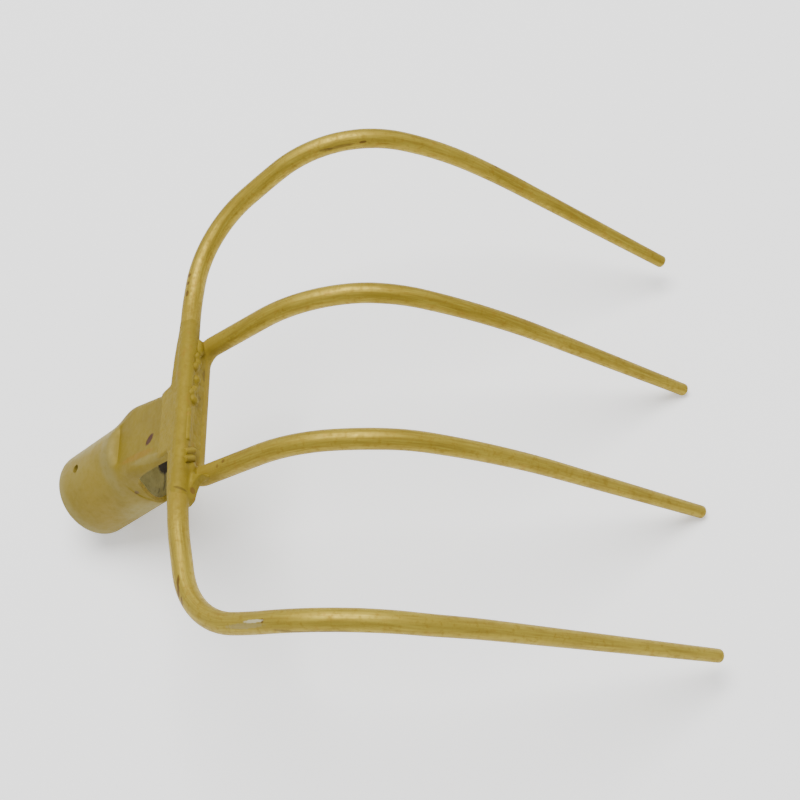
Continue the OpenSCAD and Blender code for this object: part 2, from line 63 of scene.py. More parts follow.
# The socket, with heights from its mouth and the tongue's half widths from crease to end
SOCKET_R = 22
WALL = 2.5
SHEET = 2.2
CREASE_AT = 47.3
REACH = 97.2
TONGUE_RISE = 14.4
TONGUE_OVER = 2.2
LEFT_FLAT = (17.7, 9)
RIGHT_FLAT = (13.9, 19.3)
PRESS_LEN = 4.5
LEFT_FLARE = 12.5
RIGHT_FLARE = 7.5
FLARE_SETTLE = 12
MARGIN_LEN = 5
MARGIN_TURN = 50
MARGIN_R = 4
LIP_REACH = 49.9
LIP_SLANT = 27
LIP_LOW = 43.1
LIP_DROP = 0.4
LEAN = 33
NAIL_D = 4.4
NAIL_FROM_MOUTH = 15.3
RIM_ROUND = 0.35

# How the fork stands at rest
REST_TILT = -19.5105
REST_SHIFT = (0.779566, -75.8545, 88.0396)

AT_REST = Matrix.Translation(Vector(REST_SHIFT) * MM) @ Matrix.Rotation(math.radians(REST_TILT), 4, "X")
IN_SOCKET = (AT_REST @ Matrix.Rotation(math.radians(-LEAN), 4, "X")
             @ Matrix.Translation(Vector((0, TONGUE_RISE, -REACH)) * MM))


# ---- working with operators -------------------------------------------------------------

def only(piece):
    bpy.ops.object.select_all(action="DESELECT")
    piece.select_set(True)
    bpy.context.view_layer.objects.active = piece


def added(name):
    piece = bpy.context.active_object
    piece.name = name
    piece.data.name = name
    return piece


def settle(piece, matrix=None):
    """Writes the piece's place into its mesh."""
    only(piece)
    if matrix is not None:
        piece.matrix_world = matrix @ piece.matrix_world
    bpy.ops.object.transform_apply(location=True, rotation=True, scale=True)
    return piece


def finish_modifiers(piece):
    only(piece)
    for m in list(piece.modifiers):
        bpy.ops.object.modifier_apply(modifier=m.name)


def smooth_by_angle(piece, angle):
    only(piece)
    bpy.ops.object.shade_smooth_by_angle(angle=math.radians(angle))


# ---- the route of a rod --------------------------------------------------------------------

def arc(radius, turn):
    """A piece of route: its length and how many degrees it turns in each millimetre."""
    return (radius * math.radians(abs(turn)), math.copysign(math.degrees(1 / radius), turn))


def heading(p, q):
    return math.degrees(math.atan2(q[1] - p[1], q[0] - p[0]))


def flat_pieces(line):
    """Straights and arcs along a line of corners, each corner rounded to its radius."""
    def turn(i):
        return heading(line[i], line[i + 1]) - heading(line[i - 1], line[i])

    def trim(i):
        if i in (0, len(line) - 1):
            return 0
        return line[i][2] * math.tan(math.radians(abs(turn(i)) / 2))

    out = []
    for i in range(len(line) - 1):
        span = math.dist(line[i][:2], line[i + 1][:2])
        out.append((span - trim(i) - trim(i + 1), 0))
        if i < len(line) - 2:
            out.append(arc(line[i + 1][2], turn(i + 1)))
    return out


def side_pieces(side):
    """Straights and arcs of a tine seen from the side."""
    rise, rise_len, crest_r, neck, second_r, run, length = side
    return [(rise_len, 0), arc(crest_r, -rise - neck), arc(second_r, neck - run), (length, 0)]


def advance(p, length, turn):
    """Where a point and its heading come to along one straight or arc."""
    x, y, h = p
    if turn == 0:
        return (x + length * math.cos(math.radians(h)), y + length * math.sin(math.radians(h)), h)
    g = h + turn * length
    r = math.degrees(1 / turn)
    return (x + r * (math.sin(math.radians(g)) - math.sin(math.radians(h))),
            y - r * (math.cos(math.radians(g)) - math.cos(math.radians(h))), g)


def walk(s, p, pieces):
    """Where a point and its heading come to after the distance s along the pieces."""
    for i, (length, turn) in enumerate(pieces):
        if i == len(pieces) - 1 or s <= length:
            return advance(p, s, turn)
        p = advance(p, length, turn)
        s -= length


def tine_line(flat, side, place, hand):
    """Stations of half a rod from its middle outwards: (distance, place), and its length."""
    plan = flat_pieces(flat)
    length = sum(p[0] for p in plan)
    stations = []
    done = 0
    for span, turn in plan:
        count = max(1, math.ceil(span / 2.5), math.ceil(abs(span * turn) / 4))
        stations += [done + span * k / count for k in range(count)]
        done += span
    stations.append(length)
    out = []
    for s in stations:
        across, along, _ = walk(s, (0, 0, 0), plan)
        y, z, _ = walk(along, (place[0], place[1], side[0]), side_pieces(side))
        out.append((s, AT_REST @ (Vector((hand * across, y, z)) * MM)))
    return out, length


# ---- rods ------------------------------------------------------------------------------------

def rod_radius(left):
    """Radius of a rod at a distance from the tine's end."""
    round_off = 0
    if left < TIP_ROUND:
        round_off = TIP_ROUND - math.sqrt(max(0, TIP_ROUND ** 2 - (TIP_ROUND - left) ** 2))
    return min(ROD_R, TIP_R + (ROD_R - TIP_R) * left / TAPER) - round_off


def straight_bar(name, stations, length):
    """A bar along X, drawn out to a taper at both ends, ring by ring."""
    bpy.ops.object.select_all(action="DESELECT")
    bpy.ops.mesh.primitive_circle_add(vertices=ROD_SIDES, radius=rod_radius(0) * MM,
                                      rotation=(0, math.pi / 2, 0))
    bar = added(name)
    settle(bar)
    bpy.ops.object.mode_set(mode="EDIT")
    bpy.ops.mesh.select_all(action="SELECT")
    at, r = 0.0, rod_radius(0)
    for s in stations[1:]:
        new = rod_radius(min(s, length - s))
        bpy.ops.mesh.extrude_edges_move(TRANSFORM_OT_translate={"value": ((s - at) * MM, 0, 0)})
        if abs(new - r) > 1e-7:
            bpy.ops.transform.resize(value=(1, new / r, new / r), center_override=(s * MM, 0, 0))
        at, r = s, new
    bpy.ops.mesh.edge_face_add()
    bpy.ops.mesh.select_all(action="DESELECT")
    bpy.ops.mesh.select_mode(type="EDGE")
    bpy.ops.mesh.select_non_manifold()
    bpy.ops.mesh.edge_face_add()
    bpy.ops.mesh.select_all(action="SELECT")
    bpy.ops.mesh.normals_make_consistent(inside=False)
    bpy.ops.object.mode_set(mode="OBJECT")
    return bar


def keep_straight_shape(bar):
    """Stores where each point lies on the straight bar, for marks that follow the rod."""
    straight = bar.data.attributes.new("on_bar", "FLOAT_VECTOR", "POINT")
    straight.data.foreach_set("vector", [c for v in bar.data.vertices for c in v.co])


def bent_rod(name, left, right, side, place):
    """A straight tapered bar bent along the route of two tines and the bar between them."""
    left_line, left_len = tine_line(left, side, place, -1)
    right_line, right_len = tine_line(right, side, place, 1)
    line = [(left_len - s, p) for s, p in reversed(left_line)]
    line += [(left_len + s, p) for s, p in right_line[1:]]
    length = left_len + right_len
    ends = [TIP_ROUND * (1 - math.cos(math.radians(90 * k / (TIP_RINGS - 1)))) for k in range(TIP_RINGS)]
    stations = ends + [s for s, _ in line if TIP_ROUND + 0.7 < s < length - TIP_ROUND - 0.7]
    stations += [length - e for e in reversed(ends)]
    bar = straight_bar(name, stations, length)
    keep_straight_shape(bar)
    route = bpy.data.curves.new(name + "_route", "CURVE")
    route.dimensions = "3D"
    spline = route.splines.new("POLY")
    spline.points.add(len(line) - 1)
    for point, (_, p) in zip(spline.points, line):
        point.co = (*p, 1)
    path = bpy.data.objects.new(name + "_route", route)
    bpy.context.scene.collection.objects.link(path)
    bend = bar.modifiers.new("bend", "CURVE")
    bend.object = path
    bend.deform_axis = "POS_X"
    finish_modifiers(bar)
    bpy.data.objects.remove(path)
    smooth_by_angle(bar, 50)
    return bar


outer_rod = bent_rod("outer_tines", OUTER_LEFT, OUTER_RIGHT, OUTER_SIDE, (0, 0))
inner_rod = bent_rod("inner_tines", INNER_LEFT, INNER_RIGHT, INNER_SIDE, INNER_AT)
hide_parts("outer_tine_rod")
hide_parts("inner_tine_rod")


# ---- socket -------------------------------------------------------------------------------------

# Angles round the tube from the tongue's middle: where the tongue ends and the lip begins, over how
# many degrees the sheet's end drops from tongue to lip, and where the flares begin and are full
TONGUE_EDGE, LIP_EDGE, CORNER_TURN = 60, 74, 30
CORNER_POWER = 11
FLARE_FROM, FLARE_FULL = 25, 48
LIP_LEAST = 0.7
TONGUE_TOP = TONGUE_RISE + TONGUE_OVER + SHEET / 2
TONGUE_END = REACH - ROD_R - 0.05


def ease(t):
    """From nought to one with a soft start and end."""
    t = min(1, max(0, t))
    return t * t * (3 - 2 * t)


def lip_z(angle):
    """Height of the tube's slanted end."""
    slant = math.tan(math.radians(LIP_SLANT)) * SOCKET_R * math.cos(math.radians(angle))
    return max(LIP_LOW, LIP_REACH + slant)


def crease_z(angle):
    """Height of the crease, or of the lip's root where there is no crease."""
    return min(CREASE_AT, lip_z(angle) - LIP_LEAST)


def sheet_end(angle):
    """Length of the sheet, with a rounded corner between tongue and lip."""
    corner = 1 - min(1, max(0, (abs(angle) - TONGUE_EDGE) / CORNER_TURN))
    return lip_z(angle) + (TONGUE_END - lip_z(angle)) * corner ** CORNER_POWER


def flare(angle):
    """How much the wall flares out before the crease: nought at the middle, one at the sides."""
    return ease((abs(angle) - FLARE_FROM) / (FLARE_FULL - FLARE_FROM))


def press_start(angle):
    """Height where the pressing begins, lower down at the flares."""
    side_len = LEFT_FLARE if angle < 0 else RIGHT_FLARE
    return crease_z(angle) - PRESS_LEN - (side_len - PRESS_LEN) * flare(angle)


def pressed_share(angle, z):
    """How far the wall has gone from the round tube to the flat tongue."""
    start = press_start(angle)
    end = crease_z(angle) + FLARE_SETTLE * flare(angle)
    t = min(1, max(0, (z - start) / (end - start)))
    return t * t + (ease(t) - t * t) * flare(angle)


def on_tongue(angle, z):
    """Where the flat tongue and its turned margins lie, across the tube and outwards."""
    side = -1 if angle < 0 else 1
    near, far = LEFT_FLAT if side < 0 else RIGHT_FLAT
    flat = near + (far - near) * min(1, max(0, (z - CREASE_AT) / (TONGUE_END - CREASE_AT)))
    along = (flat + MARGIN_LEN) * abs(angle) / TONGUE_EDGE - flat
    turn = min(math.radians(MARGIN_TURN), max(0, along) / MARGIN_R)
    left = max(0, along - MARGIN_R * math.radians(MARGIN_TURN))
    return (side * (flat + min(0, along) + MARGIN_R * math.sin(turn) + left * math.cos(turn)),
            TONGUE_TOP - MARGIN_R + MARGIN_R * math.cos(turn) - left * math.sin(turn))


def on_sheet(angle, z):
    """Where the rolled sheet lies after its end is pressed: tongue on one side, lip on the rest."""
    a = math.radians(angle)
    tube = (SOCKET_R * math.sin(a), SOCKET_R * math.cos(a))
    flat = pressed_share(angle, z)
    plate = on_tongue(angle, z)
    lip_r = SOCKET_R - LIP_DROP * ease((z - crease_z(angle)) / (sheet_end(180) - crease_z(180)))
    lip = (lip_r * math.sin(a), lip_r * math.cos(a))
    share = 1 - ease((abs(angle) - TONGUE_EDGE) / (LIP_EDGE - TONGUE_EDGE))
    x, y = (share * (tube[k] + flat * (plate[k] - tube[k])) + (1 - share) * lip[k] for k in (0, 1))
    return Vector((x, -y, z)) * MM


def sheet_angles():
    """Angles round the strip, closer together at the margins and flares."""
    half = [0.0]
    while half[-1] < 180:
        a = half[-1]
        half.append(a + (0.6 if 57 < a < 75 else 1.5 if 20 < a < 90 else 3))
    half = [a * 180 / half[-1] for a in half]
    return [-a for a in reversed(half[1:])] + half[:-1]


TUBE_ROWS, PRESS_ROWS, SHEET_ROWS = 14, 12, 44


def row_z(angle, row):
    """Height of a row of points: up the tube, through the pressing, then along tongue or lip."""
    start, crease = press_start(angle), crease_z(angle)
    if row <= TUBE_ROWS:
        return start * row / TUBE_ROWS
    if row <= TUBE_ROWS + PRESS_ROWS:
        return start + (crease - start) * (row - TUBE_ROWS) / PRESS_ROWS
    return crease + (sheet_end(angle) - crease) * ((row - TUBE_ROWS - PRESS_ROWS) / SHEET_ROWS) ** 1.5


def make_socket():
    """A rolled tube drawn up row by row, pressed to its tongue and lip, then thickened and punched."""
    angles = sheet_angles()
    bpy.ops.object.select_all(action="DESELECT")
    bpy.ops.mesh.primitive_circle_add(vertices=len(angles), radius=SOCKET_R * MM)
    tube = added("handle_socket")
    bpy.ops.object.mode_set(mode="EDIT")
    bpy.ops.mesh.select_all(action="SELECT")
    for _ in range(TUBE_ROWS + PRESS_ROWS + SHEET_ROWS):
        bpy.ops.mesh.extrude_edges_move(TRANSFORM_OT_translate={"value": (0, 0, MM)})
    bpy.ops.object.mode_set(mode="OBJECT")
    first = [v.co.copy() for v in tube.data.vertices[:len(angles)]]
    order = sorted(range(len(angles)), key=lambda i: math.atan2(first[i].x, first[i].y))
    rank = {(round(first[i].x, 7), round(first[i].y, 7)): k for k, i in enumerate(order)}
    on_strip = []
    for v in tube.data.vertices:
        angle = angles[rank[(round(v.co.x, 7), round(v.co.y, 7))]]
        z = row_z(angle, round(v.co.z / MM))
        v.co = on_sheet(angle, z)
        on_strip += [angle / 180, z * MM, (z - crease_z(angle)) * MM]
    tube.data.attributes.new("on_strip", "FLOAT_VECTOR", "POINT").data.foreach_set("vector", on_strip)
    bpy.ops.object.mode_set(mode="EDIT")
    bpy.ops.mesh.select_all(action="SELECT")
    bpy.ops.mesh.normals_make_consistent(inside=False)
    bpy.ops.object.mode_set(mode="OBJECT")
    for slot in range(3):
        tube.data.materials.append(None)
    wall = tube.modifiers.new("wall", "SOLIDIFY")
    wall.thickness = WALL * MM
    wall.offset = -1
    wall.material_offset = 1
    wall.material_offset_rim = 2
    finish_modifiers(tube)
    bpy.ops.object.select_all(action="DESELECT")
    bpy.ops.mesh.primitive_cylinder_add(vertices=40, radius=NAIL_D / 2 * MM, depth=SOCKET_R * MM,
                                        location=(0, -SOCKET_R * MM, NAIL_FROM_MOUTH * MM),
                                        rotation=(math.pi / 2, 0, 0))
    punch = added("nail_punch")
    hole = tube.modifiers.new("nail_hole", "BOOLEAN")
    hole.object = punch
    hole.solver = "EXACT"
    rim = tube.modifiers.new("rim", "BEVEL")
    rim.width = RIM_ROUND * MM
    rim.segments = 3
    rim.limit_method = "ANGLE"
    rim.angle_limit = math.radians(55)
    finish_modifiers(tube)
    bpy.data.objects.remove(punch)
    settle(tube, IN_SOCKET)
    smooth_by_angle(tube, 40)
    return tube


socket = make_socket()
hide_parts("socket")


# ---- weld metal -------------------------------------------------------------------------------------

def fork(x, y, z):
    """A place on the fork before it is tilted to rest, with the outer rod's middle along X."""
    return AT_REST @ (Vector((x, y, z)) * MM)


def round_rod(x, angle, out=0.0):
    """A place around the outer rod's middle, at an angle from its front, up over its top."""
    r = ROD_R + out
    return fork(x, r * math.cos(math.radians(angle)), r * math.sin(math.radians(angle)))


def by_tongue(x, back, off):
    """A place behind the outer rod's middle, back along the tongue and off its upper side."""
    c, s = math.cos(math.radians(LEAN)), math.sin(math.radians(LEAN))
    return fork(x, -back * s - off * c, -back * c + off * s)


def in_groove(x, out):
    """A place in the groove between the rods, out from the line where they touch."""
    c, s = math.cos(math.radians(NEST)), math.sin(math.radians(NEST))
    return fork(x, ROD_R * c + out * s, -ROD_R * s + out * c)


def ball(place, radius):
    bpy.ops.object.select_all(action="DESELECT")
    bpy.ops.mesh.primitive_uv_sphere_add(segments=20, ring_count=12, radius=radius * MM, location=place)
    return bpy.context.active_object


def run(p, q, p_radius, q_radius=None):
    """A straight run of metal between two places."""
    way = q - p
    bpy.ops.object.select_all(action="DESELECT")
    bpy.ops.mesh.primitive_cone_add(vertices=32, radius1=p_radius * MM, radius2=(q_radius or p_radius) * MM,
                                    depth=way.length, location=(p + q) / 2,
                                    rotation=way.to_track_quat("Z", "Y").to_euler())
    return bpy.context.active_object


def slab(outline, corner, along, across, thickness):
    """A flat piece with the given outline, thick to both sides of its plane."""
    bpy.ops.object.select_all(action="DESELECT")
    shape = bpy.data.curves.new("slab", "CURVE")
    shape.dimensions = "2D"
    shape.fill_mode = "BOTH"
    shape.extrude = thickness / 2 * MM
    edge = shape.splines.new("POLY")
    edge.points.add(len(outline) - 1)
    for point, (u, v) in zip(edge.points, outline):
        point.co = (u * MM, v * MM, 0, 1)
    edge.use_cyclic_u = True
    piece = bpy.data.objects.new("slab", shape)
    bpy.context.scene.collection.objects.link(piece)
    turn = Matrix((along, across, along.cross(across))).transposed().to_4x4()
    piece.matrix_world = Matrix.Translation(corner) @ turn
    only(piece)
    bpy.ops.object.convert(target="MESH")
    return piece


def sunk_stretch(piece, cuts, depth=0.15):
    """A copy of what lies between the cuts, sunk under its own surface, for metal to flow onto."""
    only(piece)
    bpy.ops.object.duplicate()
    copy = bpy.context.active_object
    bpy.ops.object.mode_set(mode="EDIT")
    for place, keep in cuts:
        bpy.ops.mesh.select_all(action="SELECT")
        bpy.ops.mesh.bisect(plane_co=place, plane_no=keep, use_fill=True, clear_inner=True)
    bpy.ops.mesh.select_all(action="SELECT")
    bpy.ops.transform.shrink_fatten(value=-depth * MM)
    bpy.ops.object.mode_set(mode="OBJECT")
    return copy


def between(low, high):
    """Cuts that keep what lies between two places along the outer rod."""
    return [(fork(low, 0, 0), (1, 0, 0)), (fork(high, 0, 0), (-1, 0, 0))]


def melt(name, node, parts, voxel=0.45, passes=10, lumps=0.25):
    """Joins the parts and lets them run together like weld metal."""
    bpy.ops.object.select_all(action="DESELECT")
    for part in parts:
        part.select_set(True)
    bpy.context.view_layer.objects.active = parts[0]
    bpy.ops.object.join()
    metal = added(name)
    metal.data.materials.clear()
    settle(metal)
    flow = metal.modifiers.new("flow", "REMESH")
    flow.mode = "VOXEL"
    flow.voxel_size = voxel * MM
    even = metal.modifiers.new("even", "SMOOTH")
    even.factor = 0.6
    even.iterations = passes
    if lumps:
        cloud = bpy.data.textures.new(name + "_lumps", "CLOUDS")
        cloud.noise_scale = 3.2 * MM
        bulge = metal.modifiers.new("lumps", "DISPLACE")
        bulge.texture = cloud
        bulge.strength = lumps * MM
    finish_modifiers(metal)
    only(metal)
    bpy.ops.object.shade_smooth()
    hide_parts(node)
    return metal


TINE_UP = AT_REST.to_3x3() @ Vector((0, math.cos(math.radians(50.1)), math.sin(math.radians(50.1))))
TINE_OFF = AT_REST.to_3x3() @ Vector((0, -math.sin(math.radians(50.1)), math.cos(math.radians(50.1))))
TONGUE_BACK = (by_tongue(0, 1, 0) - by_tongue(0, 0, 0)).normalized()
TONGUE_OFF = (by_tongue(0, 0, 1) - by_tongue(0, 0, 0)).normalized()
ACROSS = Vector((1, 0, 0))


def bar_beside_tongue(points):
    """Runs of the rod's own thickness, laid behind it from point to point."""
    places = [by_tongue(x, back, off) for x, back, off in points]
    return [run(p, q, ROD_R) for p, q in zip(places, places[1:])]


# Sections in millimetres back along the tongue and off its upper side, from the outer rod's middle:
# the cover over the outer rod's top, and the fill that levels the groove
ROOF = [(4.3, 2.6), (2.6, 4.5), (-0.3, 5.35), (-2.9, 5.3), (-4.8, 4.4), (-5.9, 2.6), (-5.9, 0.4),
        (-4.6, -1.5), (0, 0)]
FLUSH = [(0, 0), (-4.2, -1.28), (-1.44, -10.37), (2.76, -9.09)]


def along_rods(outline, low, high):
    """A bar of metal with the given section, seen along the rods' middles."""
    return slab(outline, by_tongue((low + high) / 2, 0, 0), TONGUE_BACK, TONGUE_OFF, high - low)


socket_bead = melt("socket_bead", "socket_weld", [
    along_rods(ROOF, -33, 23),
    *bar_beside_tongue([(-27, -1.35, 0.85), (-36, -1.0, 0.6), (-47, -0.1, 0)]),
    slab([(-3, 2), (-1.6, 4.9), (0.6, 5.1), (4, 4.75), (8, 4.15), (13, 3.5), (16, 3), (16, 2), (0, 0)],
         by_tongue(3, 0, 0), TONGUE_BACK, TONGUE_OFF, 35.6),
    slab([(8, 18), (13.1, 16), (14.1, 12), (15.4, 9.4), (18.5, 8.6), (24, 8.0), (24, 0), (8, 0)],
         by_tongue(0, 0, 1.2), -ACROSS, TONGUE_BACK, 3),
    run(by_tongue(-14, 5, 2), by_tongue(-24, 2.5, 1), 2.6, 2),
    run(by_tongue(17, 4.5, 1.2), by_tongue(28, 2.4, 0.4), 3.4, 3.6),
    *bar_beside_tongue([(-12, 4.3, 0.2), (-18, 4.1, 0), (-27.5, 3.3, 0), (-35, 2.2, 0), (-44, 0.6, 0),
                        (-50, 0, 0)]),
    sunk_stretch(outer_rod, between(-53, 30)),
    sunk_stretch(socket, [(by_tongue(0, 17, 0), -TONGUE_BACK)]),
], passes=16, lumps=0.2)

side_bead = melt("side_bead", "side_weld", [
    *bar_beside_tongue([(13, 2, -1), (24, 2.6, 0), (30, 2, 0), (44, 0.9, 0), (52, 0.2, -0.3)]),
    sunk_stretch(outer_rod, between(19, 57)),
    sunk_stretch(socket, [(by_tongue(0, 14, 0), -TONGUE_BACK), (fork(14, 0, 0), (1, 0, 0))]),
], passes=16)

under_bead = melt("under_bead", "under_weld", [
    run(by_tongue(-7.5, 5.2, -1.6), by_tongue(17.8, 5.2, -1.6), 2.4),
    run(by_tongue(-7.5, 3.6, -4.6), by_tongue(17.8, 3.6, -4.6), 2.4),
    sunk_stretch(outer_rod, between(-10, 20)),
    sunk_stretch(inner_rod, between(-10, 20)),
])

# Smears on the outer rod: place along it, angle round it and radius, at the start and at the end
SMEARS = ((-35, 30, 0.9, -29, 24, 1.2), (-30, 36, 1.0, -25.5, 12, 1.5), (-24.5, 20, 1.3, -20.8, 6, 1.0),
          (-21, 12, 1.2, -16.5, -6, 1.35), (-15.5, 18, 1.1, -12.4, 0, 1.4), (-11.6, 20, 1.2, -9, 2, 1.1),
          (-7.8, 24, 1.3, -6.4, 4, 1.2), (-5.4, 40, 1.5, -3, 10, 1.9))
# Lumps in the groove: along the rods, back along the tongue, off its upper side, and radius
LUMPS = ((-27.6, -4.4, -1.6, 2.3), (-24.6, -3.8, -2.8, 2.3), (-21.6, -4.4, -1.2, 2.4),
         (-15.4, -4.0, -2.6, 2.2), (-9.0, -4.6, -1.2, 2.3), (-6.6, -5.0, 0.4, 2.0), (-3.6, -4.5, -1.2, 2.5))

groove_bead = melt("groove_bead", "groove_weld", [
    run(in_groove(-26, 1.4), in_groove(-2.6, 1.4), 2.0),
    along_rods(FLUSH, -32, 20),
    *[run(round_rod(x, angle, -0.3), round_rod(far_x, far_angle, 0), radius, far_radius)
      for x, angle, radius, far_x, far_angle, far_radius in SMEARS],
    *[ball(by_tongue(x, back, off), radius) for x, back, off, radius in LUMPS],
    run(by_tongue(2, -4.6, 0.9), by_tongue(19, -4.6, 0.9), 1.9),
    sunk_stretch(outer_rod, between(-38, 22)),
    sunk_stretch(inner_rod, between(-33, 22)),
], voxel=0.35, passes=22, lumps=0.7)

tack_bead = melt("tack_bead", "groove_tack", [
    run(by_tongue(25.4, -5.9, 2.2), by_tongue(22.6, -4.6, -3.4), 1.5, 1.8),
    run(by_tongue(29.4, -5.9, 2.2), by_tongue(26.6, -4.6, -3.4), 1.6, 1.9),
    along_rods(FLUSH, 19.5, 27),
    sunk_stretch(outer_rod, between(18, 30)),
    sunk_stretch(inner_rod, between(18, 27)),
], voxel=0.3, passes=4, lumps=0.2)

tine_cut = (fork(0, 22, 22), -TINE_UP)
left_root_bead = melt("left_root_bead", "left_root_weld", [
    ball(round_rod(-31.5, 14, -0.4), 3),
    run(round_rod(-31.5, 14, -0.4), round_rod(-37.5, 14, -0.6), 3, 2.4),
    run(round_rod(-34, 60, -ROD_R + 0.3), round_rod(-42, 60, -ROD_R - 0.1), ROD_R),
    sunk_stretch(outer_rod, between(-47, -22)),
    sunk_stretch(inner_rod, between(-47, -22) + [tine_cut]),
], passes=26, lumps=0.2)

right_root_bead = melt("right_root_bead", "right_root_weld", [
    ball(round_rod(30.5, 14, -0.3), 3),
    run(round_rod(30.5, 14, -0.3), round_rod(40, 12, -0.6), 3, 2.6),
    slab([(32.5, 0)] + [(45.75 - 8.5 * math.sin(a), 13.25 - 8.5 * math.cos(a))
                        for a in (math.radians(10 * k) for k in range(9, -1, -1))]
         + [(47, 3.8), (48.6, 1.2), (48.6, 0)], fork(0, 0, 0) - TINE_OFF * 4.2 * MM, ACROSS, TINE_UP, 5),
    along_rods(ROOF, 21, 35),
    along_rods(FLUSH, 24, 36),
    *bar_beside_tongue([(32, -1.35, 0.85), (39, -0.9, 0.5), (45, -0.1, 0)]),
    run(round_rod(36, 0, -ROD_R + 0.8), round_rod(45.5, 6, -ROD_R + 0.2), ROD_R),
    sunk_stretch(outer_rod, between(19, 60)),
    sunk_stretch(inner_rod, between(20, 48) + [tine_cut]),
], passes=22, lumps=0.3)

welds = [socket_bead, side_bead, under_bead, groove_bead, tack_bead, left_root_bead, right_root_bead]
rods = [outer_rod, inner_rod]
for piece in rods + [socket] + welds:
    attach(piece, "root")


# ---- materials ---------------------------------------------------------------------------------

def linear(r, g, b):
    """A colour as a shader takes it, from its screen values."""
    def one(c):
        return c / 255 / 12.92 if c <= 10 else ((c / 255 + 0.055) / 1.055) ** 2.4

    return (one(r), one(g), one(b), 1)


class Finish:
    """One material's nodes, each fed by numbers or by what other nodes give."""

    def __init__(self, name):
        self.material = bpy.data.materials.new(name)
        self.material.use_nodes = True
        self.tree = self.material.node_tree
        self.shader = self.tree.nodes["Principled BSDF"]
        self.place = self.put("TexCoord", "Object", {})

    def put(self, kind, out, inputs, **settings):
        n = self.tree.nodes.new("ShaderNode" + kind)
        for key, value in settings.items():
            setattr(n, key, value)
        for key, value in inputs.items():
            self.feed(n.inputs[key], value)
        return n.outputs[out]

    def feed(self, socket, value):
        if isinstance(value, bpy.types.NodeSocket):
            self.tree.links.new(value, socket)
        else:
            socket.default_value = value

    def stored(self, name):
        return self.put("Attribute", "Vector", {}, attribute_name=name)

    def noise(self, size, detail=3.0, rough=0.5, where=None, stretch=(1, 1, 1)):
        """Cloudy values near 0.5, in patches of about the given size in millimetres."""
        at = self.put("Mapping", "Vector", {"Vector": where or self.place, "Scale": stretch})
        return self.put("TexNoise", 0, {"Vector": at, "Scale": 1 / (size * MM), "Detail": detail,
                                        "Roughness": rough})

    def band(self, value, low, high, start=0.0, end=1.0):
        return self.put("MapRange", 0, {"Value": value, "From Min": low, "From Max": high, "To Min": start,
                                        "To Max": end}, interpolation_type="SMOOTHSTEP")

    def maths(self, operation, a, b=0.0):
        return self.put("Math", 0, {0: a, 1: b}, operation=operation)

    def both(self, *values):
        out = values[0]
        for value in values[1:]:
            out = self.maths("MULTIPLY", out, value)
        return out

    def blend(self, share, under, over):
        return self.put("Mix", 2, {0: share, 6: under, 7: over}, data_type="RGBA")

    def spot(self, place, radii, way=(1, 0, 0), ragged=0.35):
        """One at a mark on the surface and nought away from it. Place and radii in millimetres."""
        turn = Vector(way).to_track_quat("X", "Z").to_euler()
        near = self.put("Mapping", "Vector", {"Vector": self.place, "Location": Vector(place) * MM,
                                              "Rotation": turn, "Scale": Vector(radii) * MM},
                        vector_type="TEXTURE")
        reach = self.put("VectorMath", "Value", {0: near}, operation="LENGTH")
        reach = self.maths("ADD", reach, self.maths("MULTIPLY", self.noise(1.1, 2), ragged))
        return self.band(reach, 0.75 + ragged / 2, 1.15 + ragged / 2, 1.0, 0.0)

    def patch(self, strip, angle, z, angle_r, z_r, soft=0.5):
        """One in a patch of the socket's wall, given by its angle and its height in millimetres."""
        near = self.put("Mapping", "Vector", {"Vector": strip, "Location": (angle / 180, z * MM, 0),
                                              "Scale": (angle_r / 180, z_r * MM, 10)},
                        vector_type="TEXTURE")
        reach = self.put("VectorMath", "Value", {0: near}, operation="LENGTH")
        reach = self.maths("ADD", reach, self.maths("MULTIPLY", self.noise(4, 3), 0.5))
        return self.band(reach, 1.25 - soft, 1.25 + soft, 1.0, 0.0)

    def finish(self, colour, rough, metal, height=None, depth=0.05, strength=0.5):
        self.feed(self.shader.inputs["Base Color"], colour)
        self.feed(self.shader.inputs["Roughness"], rough)
        self.feed(self.shader.inputs["Metallic"], metal)
        self.feed(self.shader.inputs["Specular IOR Level"], 0.25)
        if height is not None:
            bump = self.put("Bump", "Normal", {"Height": height, "Distance": depth * MM,
                                               "Strength": strength})
            self.feed(self.shader.inputs["Normal"], bump)
        return self.material


